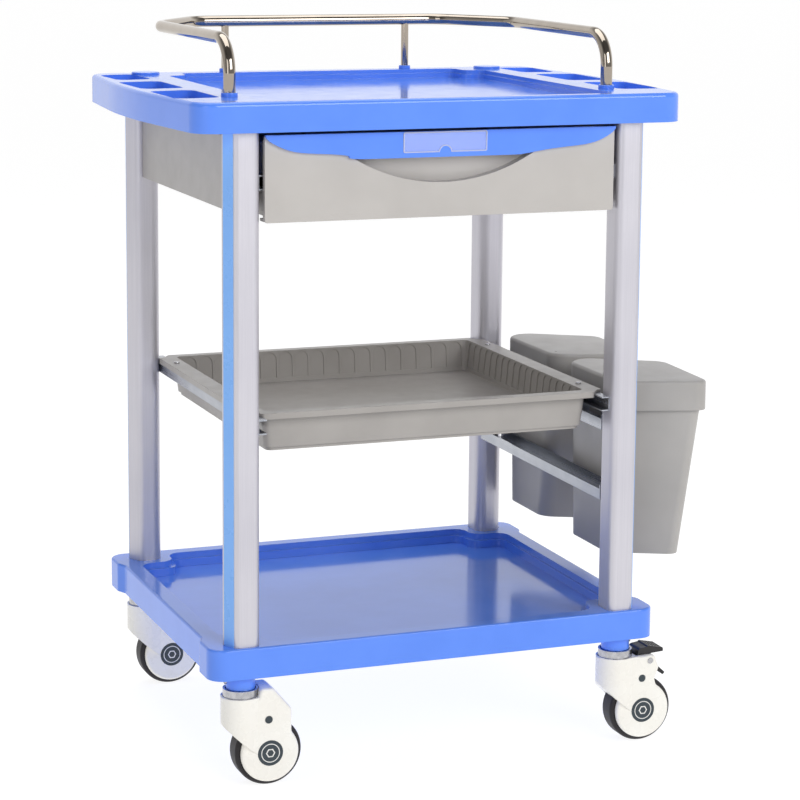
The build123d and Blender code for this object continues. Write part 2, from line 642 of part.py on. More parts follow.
shelf_low = shelf_rim - shelf_depth
middle_tray = tapered(0, shelf_low, shelf_rim, shelf_low)
rim_plate = slab(outline(flange_points(0)), shelf_rim - lip, shelf_rim)
rim_under = slab(outline(flange_points(2.5)), shelf_rim - lip, shelf_rim - 3)
middle_tray += rim_plate - rim_under
middle_tray -= tapered(wall, shelf_low + wall, shelf_rim, shelf_low)
foot_ring = slab(outline(shelf_ring(-draft - 3, -draft - 3)), shelf_low - 4, shelf_low)
foot_ring -= slab(outline(shelf_ring(-draft - 6, -draft - 6)), shelf_low - 4, shelf_low)
middle_tray += foot_ring
for sx in (-1, 1):
    middle_tray -= block(sx * (inner_x - channel_in - 0.3), sx * (inner_x + 0.3), -channel_end - 5, channel_end + 5,
                         shelf_channel_z, shelf_channel_z + channel_h)


def flute(width, bottom, top):
    """One shallow arch-topped panel, standing in the X-Z plane, cut 1 mm deep."""
    half = width / 2
    arch = Edge.make_three_point_arc(Vector(half, 0, top - half), Vector(0, 0, top), Vector(-half, 0, top - half))
    face = xz_face([Edge.make_line(Vector(-half, 0, bottom), Vector(half, 0, bottom)),
                    Edge.make_line(Vector(half, 0, bottom), Vector(half, 0, top - half)), arch,
                    Edge.make_line(Vector(-half, 0, top - half), Vector(-half, 0, bottom))])
    return Pos(0, -3, 0) * extrude(face, 4, dir=(0, 1, 0))


slope = degrees(atan(draft / shelf_depth))
flute_rise = shelf_depth - wall - 5.0
back_count = 18
side_count = 19


def flutes(count, length, at, turn):
    """A row of panels along one wall, leaning with it."""
    pitch = length / count
    row = []
    one = Rot(-slope, 0, 0) * flute(pitch - 3.0, -flute_rise, -2.0)
    for k in range(count):
        offset = -length / 2 + pitch * (k + 0.5)
        row.append(Rot(0, 0, turn) * Pos(offset, at, shelf_rim) * one)
    return row


mid_y = (shelf_front + shelf_back) / 2
run_x = 2 * (shelf_x - wall) - 14
run_y = (shelf_back - shelf_front) - 2 * wall - 14
rows = [Pos(0, mid_y, 0) * f for f in flutes(back_count, run_x, run_y / 2 + 7, 0)]
rows += [Pos(0, mid_y, 0) * f for f in flutes(back_count, run_x, run_y / 2 + 7, 180)]
rows += [Pos(0, mid_y, 0) * f for f in flutes(side_count, run_y, run_x / 2 + 7, 90)]
rows += [Pos(0, mid_y, 0) * f for f in flutes(side_count, run_y, run_x / 2 + 7, 270)]
middle_tray -= rows
screw_at = [(sx * (inner_x - 7.5), sy * (inner_y - 44)) for sx, sy in corners]
for x, y in screw_at:
    middle_tray -= rod(x, y, shelf_rim - 4, shelf_rim + 1, 2.1)
save("middle_tray", middle_tray)
save("tray_screws", *[round_top(rod(x, y, shelf_rim, shelf_rim + 1.8, 3.6), 1.0)
                      + rod(x, y, shelf_rim - 8, shelf_rim, 2.0) for x, y in screw_at])

lid_in = post_x + 14.0            # inner side of the lids
lid_gap = 0.8
lid_wall = 2.0
bin_in = lid_in + lid_wall + lid_gap

# ---- bin hangers ----------------------------------------------------------------------------
hanger_in = inner_x + 3.5
hanger_out = bin_in - 1.1
hanger_h = 13.0
hanger_low = shelf_rim - 135.0
hanger_high = shelf_rim - 49.0


def hanger(low):
    """Steel channel between the two right posts, open upwards, with a tab at each end."""
    web = block(hanger_in, hanger_out, -inner_y, inner_y, low, low + sheet)
    near = block(hanger_in, hanger_in + sheet, -inner_y, inner_y, low, low + hanger_h)
    far = block(hanger_out - sheet, hanger_out, -inner_y, inner_y, low, low + hanger_h)
    section = web + near + far
    for sy in (-1, 1):
        section += block(hanger_in, hanger_in + 24, sy * (inner_y - sheet), sy * inner_y, low, low + hanger_h + 5)
    return section


save("bin_hangers", hanger(hanger_low), hanger(hanger_high))
hanger_screws = []
for low in (hanger_low, hanger_high):
    for sy in (-1, 1):
        at_z = low + hanger_h - 2
        head = rod_y(hanger_in + 14, at_z, sy * (inner_y - sheet - 2), sy * (inner_y - sheet), 3.5)
        hanger_screws.append(head + rod_y(hanger_in + 14, at_z, sy * (inner_y - sheet), sy * (inner_y + 5), 1.7))
save("hanger_screws", *hanger_screws)

# ---- bins -----------------------------------------------------------------------------------
lid_skirt = 36.0
lid_crown = 2.0
lid_out = lid_in + 116.0   # outer side of the lids, where they are widest


def lid_points(inset):
    """Plan of a lid: straight inner side, outer side longer at the front."""
    return [(lid_in + inset, 10 - inset, 28 - inset), (lid_out - inset, -62 - inset * 0.6, 24 - inset),
            (lid_out - 8 - inset, -203 + inset * 1.1, 15 - inset), (lid_in + inset, -171 + inset, 28 - inset)]


def bin_outline(inset, lower):
    """Plan of the bin body; it narrows downwards."""
    edge = lid_wall + lid_gap + inset
    return [(lid_in + edge, 10 - edge - 6 * lower, 25 - inset), (lid_out - edge - 20 * lower, -62 - edge * 0.6 - 3 * lower, 20 - inset),
            (lid_out - 8 - edge - 19 * lower, -203 + edge * 1.1 + 20 * lower, 12 - inset),
            (lid_in + edge, -171 + edge + 28 * lower, 25 - inset)]


def bin_body():
    def shape(inset, low, high):
        lower = (bin_top - low) / (bin_top - bin_bottom)
        upper = (bin_top - high) / (bin_top - bin_bottom)
        return loft([Pos(0, 0, low) * outline(bin_outline(inset, lower)),
                     Pos(0, 0, high) * outline(bin_outline(inset, upper))])

    outer = shape(0, bin_bottom, bin_top)
    outer -= shape(2.2, bin_bottom + 2.5, bin_top)
    hook_top = hanger_high + hanger_h + 3.7
    hook_in = hanger_out - sheet - 2.0
    for y in (-140, -60):
        bridge = block(hook_in - 3, bin_in + 1, y, y + 40, hook_top - 3.2, hook_top)
        tongue = block(hook_in - 3, hook_in, y, y + 40, hook_top - 12, hook_top)
        outer += bridge + tongue
    return outer


def bin_lid():
    cap = round_top(slab(outline(lid_points(0)), bin_top + lid_crown - lid_skirt, bin_top + lid_crown), 4)
    cap -= slab(outline(lid_points(lid_wall)), bin_top + lid_crown - lid_skirt, bin_top)
    cap -= rod(lid_in + 13, -12, bin_top - 1, bin_top + 5, 1.6)
    cap -= rod(lid_in + 13, -152, bin_top - 1, bin_top + 5, 1.6)
    notch = Pos(lid_out - 8, -203, bin_top - 3) * Rot(0, 0, 45) * Box(9, 13, 12)
    return cap - notch


body_shape, lid_shape = bin_body(), bin_lid()
for name, shift in (("front", 0.0), ("rear", bin_pitch)):
    save(f"bin_{name}", Pos(0, shift, 0) * body_shape)
    save(f"bin_lid_{name}", Pos(0, shift, 0) * lid_shape)
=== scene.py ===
"""Looks of a medication cart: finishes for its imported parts, a few fine pieces, and a plain studio."""

import json
import logging
import math
from dataclasses import dataclass, field
from enum import Enum
from typing import Any, Iterable, Optional, Sequence

import bmesh
import bpy
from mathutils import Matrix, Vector

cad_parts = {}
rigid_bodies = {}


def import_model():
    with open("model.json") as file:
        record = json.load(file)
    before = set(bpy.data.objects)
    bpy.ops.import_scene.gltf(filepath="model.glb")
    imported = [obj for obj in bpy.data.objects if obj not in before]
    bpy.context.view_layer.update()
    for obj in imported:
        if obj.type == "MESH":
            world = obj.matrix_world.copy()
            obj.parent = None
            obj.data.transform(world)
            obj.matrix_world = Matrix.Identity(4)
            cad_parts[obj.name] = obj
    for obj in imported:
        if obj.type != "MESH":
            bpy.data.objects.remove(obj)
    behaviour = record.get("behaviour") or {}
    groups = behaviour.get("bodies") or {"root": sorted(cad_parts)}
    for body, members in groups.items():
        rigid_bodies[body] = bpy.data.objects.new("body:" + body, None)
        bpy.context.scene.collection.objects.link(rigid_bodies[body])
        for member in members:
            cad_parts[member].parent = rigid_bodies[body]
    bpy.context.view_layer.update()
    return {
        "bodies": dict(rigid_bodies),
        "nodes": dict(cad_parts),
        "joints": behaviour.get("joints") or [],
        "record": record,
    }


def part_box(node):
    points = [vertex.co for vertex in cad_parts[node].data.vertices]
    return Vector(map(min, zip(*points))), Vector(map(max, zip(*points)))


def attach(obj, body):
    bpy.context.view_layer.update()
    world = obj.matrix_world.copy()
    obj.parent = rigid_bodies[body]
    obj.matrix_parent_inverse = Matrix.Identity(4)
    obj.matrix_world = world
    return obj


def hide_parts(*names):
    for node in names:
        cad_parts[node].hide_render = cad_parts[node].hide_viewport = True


log = logging.getLogger("cart")

MM = 0.001
BEVEL_SAMPLES = 4
LINE_DARK = (0.72, 0.72, 0.74, 1.0)

Point = tuple[float, float]
Links = dict[str, tuple[bpy.types.Node, str]]


class Axis(Enum):
    """A direction of the cart, as an index into a vector."""

    X = 0
    Y = 1
    Z = 2


class Corner(Enum):
    """The four corners where a castor stands."""

    FRONT_LEFT = "fl"
    FRONT_RIGHT = "fr"
    BACK_LEFT = "bl"
    BACK_RIGHT = "br"


def linear(colour: str) -> tuple[float, float, float, float]:
    """Turns an sRGB hex colour to linear light.

    Args:
        colour: Six hex digits, with or without a leading hash.

    Returns:
        Red, green, blue and an alpha of 1.
    """
    digits = colour.lstrip("#")
    parts = [int(digits[k:k + 2], 16) / 255 for k in (0, 2, 4)]
    light = [c / 12.92 if c <= 0.04045 else ((c + 0.055) / 1.055) ** 2.4 for c in parts]
    return (light[0], light[1], light[2], 1.0)


def per_metre(size_mm: float) -> float:
    """Pattern scale whose features are size_mm across."""
    return 1.0 / (size_mm * MM)


def add_node(
    tree: bpy.types.NodeTree,
    kind: str,
    settings: Optional[dict[str, Any]] = None,
    values: Optional[dict[str, Any]] = None,
    links: Optional[Links] = None,
) -> bpy.types.Node:
    """Adds one node with its settings, socket values and links.

    Args:
        tree: The tree that gets the node.
        kind: Blender's name of the node type.
        settings: Properties of the node itself.
        values: Constants for its input sockets.
        links: For an input socket, the node and output that feed it.

    Returns:
        The new node.
    """
    node = tree.nodes.new(kind)
    for name, value in (settings or {}).items():
        setattr(node, name, value)
    for name, value in (values or {}).items():
        node.inputs[name].default_value = value
    for name, (source, output) in (links or {}).items():
        tree.links.new(source.outputs[output], node.inputs[name])
    return node


@dataclass(frozen=True)
class Finish:
    """What every finish has: a name, two shades of one colour, and how rough it is.

    The two shades are a moulding's or a sheet's own unevenness, mottled over mottle_mm.
    """

    name: str
    colour: str
    second: str
    roughness: float
    mottle_mm: float = 60.0
    rough_swing: float = 0.05
    smear_mm: float = 18.0

    def start(self) -> tuple[bpy.types.Material, bpy.types.NodeTree, bpy.types.Node]:
        """Makes the material and empties its tree.

        Returns:
            The material, its tree, and the node that gives positions in metres.
        """
        material = bpy.data.materials.new(self.name)
        material.use_nodes = True
        tree = material.node_tree
        tree.nodes.clear()
        where = add_node(tree, "ShaderNodeTexCoord")
        return material, tree, where

    def stretched(
        self, tree: bpy.types.NodeTree, where: bpy.types.Node, stretch: Sequence[float]
    ) -> bpy.types.Node:
        """Positions squeezed along each axis, so that a round pattern becomes long lines."""
        return add_node(
            tree, "ShaderNodeMapping", values={"Scale": tuple(stretch)}, links={"Vector": (where, "Object")}
        )

    def noise(
        self,
        tree: bpy.types.NodeTree,
        vector: tuple[bpy.types.Node, str],
        size_mm: float,
        detail: float = 2.0,
        harsh: float = 0.5,
    ) -> bpy.types.Node:
        """Cloudy pattern with features size_mm across."""
        return add_node(
            tree,
            "ShaderNodeTexNoise",
            values={"Scale": per_metre(size_mm), "Detail": detail, "Roughness": harsh},
            links={"Vector": vector},
        )

    def mottled(self, tree: bpy.types.NodeTree, where: bpy.types.Node) -> bpy.types.Node:
        """The two shades mixed over mottle_mm.

        Args:
            tree: The material's tree.
            where: The node that gives positions.

        Returns:
            A ramp whose Color is the surface colour.
        """
        cloud = self.noise(tree, (where, "Object"), self.mottle_mm, 3.0)
        ramp = add_node(tree, "ShaderNodeValToRGB", links={"Fac": (cloud, "Fac")})
        ramp.color_ramp.elements[0].position = 0.35
        ramp.color_ramp.elements[0].color = linear(self.second)
        ramp.color_ramp.elements[1].position = 0.65
        ramp.color_ramp.elements[1].color = linear(self.colour)
        return ramp

    def uneven(self, tree: bpy.types.NodeTree, vector: tuple[bpy.types.Node, str]) -> bpy.types.Node:
        """Roughness that swings about its middle where hands and cloths have been.

        Args:
            tree: The material's tree.
            vector: The node and output that give positions.

        Returns:
            A range node whose Result is the roughness.
        """
        smear = self.noise(tree, vector, self.smear_mm, 4.0, 0.6)
        return add_node(
            tree,
            "ShaderNodeMapRange",
            values={
                "From Min": 0.3,
                "From Max": 0.7,
                "To Min": max(self.roughness - self.rough_swing, 0.02),
                "To Max": self.roughness + self.rough_swing,
            },
            links={"Value": (smear, "Fac")},
        )

    def close(self, tree: bpy.types.NodeTree, shader: bpy.types.Node) -> None:
        """Links the shader to the material's output."""
        add_node(tree, "ShaderNodeOutputMaterial", links={"Surface": (shader, "BSDF")})


@dataclass(frozen=True)
class MouldedPlastic(Finish):
    """Injection-moulded thermoplastic, glossy or with a spark-eroded texture."""

    peel_mm: float = 9.0
    peel_depth_mm: float = 0.02
    grain_mm: float = 0.8
    grain_depth_mm: float = 0.0
    edge_mm: float = 0.5
    ior: float = 1.5
    coat: float = 0.0
    coat_roughness: float = 0.05
    specular: float = 0.5
    sink: float = 0.0

    def build(self) -> bpy.types.Material:
        """Mottled colour, uneven gloss, the long ripple of flow and the tool's fine texture."""
        material, tree, where = self.start()
        colour = self.mottled(tree, where)
        rough = self.uneven(tree, (where, "Object"))
        # A moulding has no knife edge: this turns the light over its small corner radius.
        edge = add_node(tree, "ShaderNodeBevel", {"samples": BEVEL_SAMPLES}, {"Radius": self.edge_mm * MM})
        ripple = self.noise(tree, (where, "Object"), self.peel_mm, 1.0)
        flow = add_node(
            tree,
            "ShaderNodeBump",
            values={"Strength": 1.0, "Distance": self.peel_depth_mm * MM},
            links={"Height": (ripple, "Fac"), "Normal": (edge, "Normal")},
        )
        normal = flow
        if self.grain_depth_mm > 0:
            grain = self.noise(tree, (where, "Object"), self.grain_mm, 2.0, 0.6)
            normal = add_node(
                tree,
                "ShaderNodeBump",
                values={"Strength": 1.0, "Distance": self.grain_depth_mm * MM},
                links={"Height": (grain, "Fac"), "Normal": (flow, "Normal")},
            )
        shader = add_node(
            tree,
            "ShaderNodeBsdfPrincipled",
            values={
                "IOR": self.ior,
                "Coat Weight": self.coat,
                "Coat Roughness": self.coat_roughness,
                "Specular IOR Level": self.specular,
            },
            links={
                "Base Color": (colour, "Color"),
                "Roughness": (rough, "Result"),
                "Normal": (normal, "Normal"),
            },
        )
        self.close(tree, shader)
        return material


@dataclass(frozen=True)
class WorkedMetal(Finish):
    """Metal whose surface carries the lines of how it was made: drawn, rolled, turned or polished."""

    line_mm: float = 1.0
    line_long: float = 60.0
    line_depth_mm: float = 0.004
    along: Axis = Axis.Z
    line_shade: float = 0.5
    metallic: float = 1.0
    edge_mm: float = 0.3

    def build(self) -> bpy.types.Material:
        """Lines along the way of working, in height, in gloss and a little in colour."""
        material, tree, where = self.start()
        squeeze = [1.0, 1.0, 1.0]
        squeeze[self.along.value] = 1.0 / self.line_long
        lines_at = self.stretched(tree, where, squeeze)
        lines = self.noise(tree, (lines_at, "Vector"), self.line_mm, 3.0, 0.65)
        colour = self.mottled(tree, where)
        drawn = add_node(
            tree,
            "ShaderNodeMix",
            {"data_type": "RGBA", "blend_type": "MULTIPLY"},
        )
        drawn.inputs[0].default_value = self.line_shade
        tree.links.new(colour.outputs["Color"], drawn.inputs[6])
        grey = add_node(tree, "ShaderNodeValToRGB", links={"Fac": (lines, "Fac")})
        grey.color_ramp.elements[0].position = 0.3
        grey.color_ramp.elements[0].color = LINE_DARK
        grey.color_ramp.elements[1].position = 0.62
        tree.links.new(grey.outputs["Color"], drawn.inputs[7])
        rough = self.uneven(tree, (lines_at, "Vector"))
        edge = add_node(tree, "ShaderNodeBevel", {"samples": BEVEL_SAMPLES}, {"Radius": self.edge_mm * MM})
        bump = add_node(
            tree,
            "ShaderNodeBump",
            values={"Strength": 1.0, "Distance": self.line_depth_mm * MM},
            links={"Height": (lines, "Fac"), "Normal": (edge, "Normal")},
        )
        shader = add_node(
            tree,
            "ShaderNodeBsdfPrincipled",
            values={"Metallic": self.metallic},
            links={"Roughness": (rough, "Result"), "Normal": (bump, "Normal")},
        )
        tree.links.new(drawn.outputs[2], shader.inputs["Base Color"])
        self.close(tree, shader)
        return material


@dataclass(frozen=True)
class MouldedRubber(Finish):
    """Thermoplastic rubber tread: dull, with fine pores and clouds of floor dust."""

    pore_mm: float = 1.2
    pore_depth_mm: float = 0.05
    dust: str = "#5E5A56"
    dust_share: float = 0.22

    def build(self) -> bpy.types.Material:
        """Dull near-black with dust clouds and pores."""
        material, tree, where = self.start()
        colour = self.mottled(tree, where)
        cloud = self.noise(tree, (where, "Object"), self.smear_mm, 6.0, 0.7)
        share = add_node(
            tree,
            "ShaderNodeMapRange",
            values={"From Min": 0.5, "From Max": 0.75, "To Min": 0.0, "To Max": self.dust_share},
            links={"Value": (cloud, "Fac")},
        )
        dusty = add_node(tree, "ShaderNodeMix", {"data_type": "RGBA"}, links={"Factor": (share, "Result")})
        tree.links.new(colour.outputs["Color"], dusty.inputs[6])
        dusty.inputs[7].default_value = linear(self.dust)
        rough = self.uneven(tree, (where, "Object"))
        pores = self.noise(tree, (where, "Object"), self.pore_mm, 2.0)
        bump = add_node(
            tree,
            "ShaderNodeBump",
            values={"Strength": 1.0, "Distance": self.pore_depth_mm * MM},
            links={"Height": (pores, "Fac")},
        )
        shader = add_node(
            tree,
            "ShaderNodeBsdfPrincipled",
            values={"Specular IOR Level": 0.4},
            links={"Roughness": (rough, "Result"), "Normal": (bump, "Normal")},
        )
        tree.links.new(dusty.outputs[2], shader.inputs["Base Color"])
        self.close(tree, shader)
        return material


@dataclass(frozen=True)
class ClearSheet(Finish):
    """Clear vacuum-formed PVC: see-through, under a pale layer hazy from handling; laid on thicker at a folded edge,
    the pale layer is a painted highlight.
    """

    # Share of the pale layer: hazy handling on the sheet, a painted highlight on a folded edge.
    haze_and_highlight: float = 0.16

    def build(self) -> bpy.types.Material:
        """Clear, hazy in its gloss, with a slow ripple."""
        material, tree, where = self.start()
        colour = self.mottled(tree, where)
        rough = self.uneven(tree, (where, "Object"))
        ripple = self.noise(tree, (where, "Object"), 14.0, 1.0)
        bump = add_node(
            tree,
            "ShaderNodeBump",
            values={"Strength": 1.0, "Distance": 0.05 * MM},
            links={"Height": (ripple, "Fac")},
        )
        shader = add_node(
            tree,
            "ShaderNodeBsdfPrincipled",
            values={"IOR": 1.45, "Alpha": self.haze_and_highlight},
            links={
                "Base Color": (colour, "Color"),
                "Roughness": (rough, "Result"),
                "Normal": (bump, "Normal"),
            },
        )
        self.close(tree, shader)
        return material


# ABS, moulded in a polished tool: strong blue under a wet-looking gloss, with a slow ripple of flow.
BLUE_ABS = MouldedPlastic(
    "abs_blue_gloss_moulded", "#5C8EF7", "#5789F2", 0.13, rough_swing=0.03, smear_mm=30,
    peel_mm=14, peel_depth_mm=0.02, edge_mm=0.9, coat=0.08, coat_roughness=0.05,
)
# ABS, moulded in a spark-eroded tool: warm grey with a fine even texture that spreads the light.
GREY_ABS = MouldedPlastic(
    "abs_grey_textured_moulded", "#BAB6B2", "#B5B1AD", 0.42, rough_swing=0.04, smear_mm=25,
    grain_mm=1.1, grain_depth_mm=0.03, peel_depth_mm=0.02, edge_mm=0.6,
)
# The ribbed tray and the housing come from a smoother tool with a softer gloss, in the same grey a shade darker; on
# the housing sides and back the darker grey is painted shade.
GREY_ABS_SATIN_AND_SHADE = MouldedPlastic(
    "abs_grey_satin_and_painted_shade", "#A5A19D", "#9F9B97", 0.33, rough_swing=0.05, smear_mm=22,
    grain_mm=1.3, grain_depth_mm=0.015, peel_depth_mm=0.02, edge_mm=0.6,
)
# Polypropylene, moulded: grey with a waxy gloss and long flow clouds.
GREY_PP = MouldedPlastic(
    "polypropylene_grey_moulded", "#ABA8A5", "#A29F9C", 0.36, mottle_mm=90, rough_swing=0.06,
    smear_mm=35, grain_mm=1.0, grain_depth_mm=0.02, peel_mm=16, peel_depth_mm=0.05, edge_mm=0.8,
)
# Aluminium, extruded and satin anodised: pale grey with faint lines up its length.
SATIN_ALUMINIUM = WorkedMetal(
    "aluminium_extruded_satin_anodised", "#D0CED5", "#CAC8D0", 0.4, mottle_mm=120,
    rough_swing=0.05, smear_mm=4, line_mm=1.2, line_long=80, line_depth_mm=0.006,
    line_shade=0.22, metallic=0.7, edge_mm=0.5,
)
# PVC, extruded trim: light blue with a satin face.
BLUE_STRIP = MouldedPlastic(
    "pvc_blue_extruded_trim", "#82BAFF", "#7DB5FB", 0.3, peel_mm=5, peel_depth_mm=0.01, edge_mm=0.6,
)
# Stainless steel tube, ground and mirror polished: near-perfect reflections with hair-fine lines. Its warm, dark
# brownish grey is a painted reflection of dark brown surroundings.
STAINLESS_PAINTED_REFLECTION = WorkedMetal(
    "stainless_tube_polished_painted_reflection", "#B3A99D", "#A89E92", 0.07, mottle_mm=40, rough_swing=0.03,
    smear_mm=8, line_mm=0.8, line_long=20, line_depth_mm=0.001, along=Axis.X,
    line_shade=0.1, edge_mm=0.2,
)
# Steel sheet, folded and bright zinc plated: cool grey, cloudy, with rolling lines along it.
ZINC_SHEET = WorkedMetal(
    "steel_sheet_zinc_plated", "#B4B7BE", "#A9ADB5", 0.3, mottle_mm=30, rough_swing=0.08,
    smear_mm=9, line_mm=0.9, line_long=50, line_depth_mm=0.004, along=Axis.Y, line_shade=0.3,
)
# Steel, turned and plated: small bright parts such as screws, stems and pins.
BRIGHT_STEEL = WorkedMetal(
    "steel_turned_plated", "#C4C4C6", "#AFAFB2", 0.24, mottle_mm=6, rough_swing=0.06,
    smear_mm=4, line_mm=0.5, line_long=1, line_depth_mm=0.003, line_shade=0.25,
)
# Nylon, moulded: warm white shell of a castor with a soft gloss.
IVORY_NYLON = MouldedPlastic(
    "nylon_ivory_moulded", "#F3F1EA", "#EFECE4", 0.28, rough_swing=0.06, smear_mm=14,
    peel_mm=7, peel_depth_mm=0.03, edge_mm=0.8,
)
# Nylon, moulded without polish: the wheel's core.
HUB_NYLON = MouldedPlastic(
    "nylon_wheel_core_moulded", "#DAD7CF", "#D2CFC6", 0.45, grain_mm=0.9, grain_depth_mm=0.02,
)
# Rubber tread moulded onto the core: dull near-black with a little floor dust.
TYRE_RUBBER = MouldedRubber("rubber_tread_moulded", "#242024", "#1C191C", 0.5, smear_mm=12)
# ABS, moulded: dark slate disc that covers the axle's end.
BADGE_ABS = MouldedPlastic(
    "abs_slate_disc_moulded", "#2F3B42", "#2B363D", 0.34, mottle_mm=12, smear_mm=6,
    grain_mm=0.6, grain_depth_mm=0.01, edge_mm=0.3,
)
# Nylon with glass fibre, moulded: black pedal with a dry sheen.
BLACK_NYLON = MouldedPlastic(
    "nylon_black_glass_filled", "#211F21", "#191819", 0.38, mottle_mm=10, smear_mm=8,
    grain_mm=0.8, grain_depth_mm=0.03, edge_mm=0.5,
)
# PVC, clear and vacuum formed: the label pocket.
CLEAR_PVC = ClearSheet("pvc_clear_formed", "#F4F7FF", "#EEF3FF", 0.08, rough_swing=0.05, smear_mm=20)
# The same PVC where it is folded over: its paler look is a painted highlight for the light the edge gathers.
CLEAR_PVC_EDGE_HIGHLIGHT = ClearSheet(
    "pvc_clear_folded_edge_painted_highlight", "#F4F7FF", "#EEF3FF", 0.12, rough_swing=0.05, smear_mm=20, haze_and_highlight=0.5
)
# Pad-printed ink: the plain ring on a castor's disc.
WHITE_INK = MouldedPlastic(
    "ink_white_pad_printed", "#E9E8E4", "#DDDCD8", 0.5, mottle_mm=4, smear_mm=3,
    grain_mm=0.5, grain_depth_mm=0.01, edge_mm=0.1,
)


@dataclass
class Workshop:
    """Makes each finish once, and dresses pieces with it."""

    frame: dict[str, Any]
    made: dict[str, bpy.types.Material] = field(default_factory=dict)
    smooth_angle: float = math.radians(28)

    def material(self, finish: Any) -> bpy.types.Material:
        """The finish's material, made on first use."""
        if finish.name not in self.made:
            self.made[finish.name] = finish.build()
        return self.made[finish.name]

    def dress(self, finish: Any, nodes: Iterable[str]) -> None:
        """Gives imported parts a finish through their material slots.

        Args:
            finish: The finish to give.
            nodes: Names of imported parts.
        """
        material = self.material(finish)
        for name in nodes:
            part = self.frame["nodes"][name]
            if not part.material_slots:
                part.data.materials.append(material)
            for slot in part.material_slots:
                slot.material = material
            log.info("%s: %s", name, finish.name)

    def mesh_piece(self, name: str, mesh: bmesh.types.BMesh, finish: Any, body: str) -> bpy.types.Object:
        """Turns a finished mesh into a piece that rides on a body.

        Args:
            name: The piece's name.
            mesh: Its mesh, in metres in the cart's frame; it is used up.
            finish: Its finish.
            body: The body it moves with.

        Returns:
            The new object.
        """
        data = bpy.data.meshes.new(name)
        bmesh.ops.recalc_face_normals(mesh, faces=mesh.faces)
        mesh.to_mesh(data)
        mesh.free()
        data.materials.append(self.material(finish))
        data.shade_smooth()
        data.set_sharp_from_angle(angle=self.smooth_angle)
        piece = bpy.data.objects.new(name, data)
        bpy.context.scene.collection.objects.link(piece)
        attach(piece, body)
        log.info("%s: new piece on %s, %s", name, body, finish.name)
        return piece


def ring_of_points(count: int, radius: float, turn: float = 0.0) -> list[Point]:
    """Points evenly round a circle, the first at angle turn."""
    step = 2 * math.pi / count
    return [(radius * math.cos(turn + k * step), radius * math.sin(turn + k * step)) for k in range(count)]


def plate_with_hole(
    mesh: bmesh.types.BMesh, outer: list[Point], inner: list[Point], centre: Vector, low: float, high: float
) -> None:
    """Adds a flat ring, such as a printed circle, standing out along Y.

    Args:
        mesh: The mesh that gets it.
        outer: Its outline in X and Z about the centre.
        inner: Its hole, with as many points.
        centre: Its middle.
        low: Its back face, along Y from the centre.
        high: Its front face, along Y from the centre.
    """
    loops = []
    for points in (outer, inner):
        for depth in (low, high):
            loops.append([mesh.verts.new(centre + Vector((x, depth, z))) for x, z in points])
    outer_low, outer_high, inner_low, inner_high = loops
    count = len(outer)
    for a, b in ((outer_low, outer_high), (outer_high, inner_high), (inner_high, inner_low), (inner_low, outer_low)):
        for k in range(count):
            n = (k + 1) % count
            mesh.faces.new((a[k], a[n], b[n], b[k]))


@dataclass
class Trays:
    """The blue top and bottom trays with what is moulded or pressed into them."""

    blue: Sequence[str] = ("top_tray", "bottom_tray", "post_caps", "rail_collars", "castor_collars")

    def build(self, shop: Workshop) -> None:
        """Dresses the trays."""
        shop.dress(BLUE_ABS, self.blue)


@dataclass
class Frame:
    """Posts, their trim, the guard rail and the folded channels."""

    channels: Sequence[str] = ("shelf_channels", "drawer_channels", "bin_hangers")
    bright: Sequence[str] = ("castor_stems", "set_screws", "channel_screws", "tray_screws", "hanger_screws")

    def build(self, shop: Workshop) -> None:
        """Dresses the metalwork."""
        shop.dress(SATIN_ALUMINIUM, ["posts"])
        shop.dress(BLUE_STRIP, ["post_strips"])
        # The rail and its stubs carry a painted brownish reflection in their colour.
        shop.dress(STAINLESS_PAINTED_REFLECTION, ["guard_rail", "rail_stubs"])
        shop.dress(ZINC_SHEET, self.channels)
        shop.dress(BRIGHT_STEEL, self.bright)


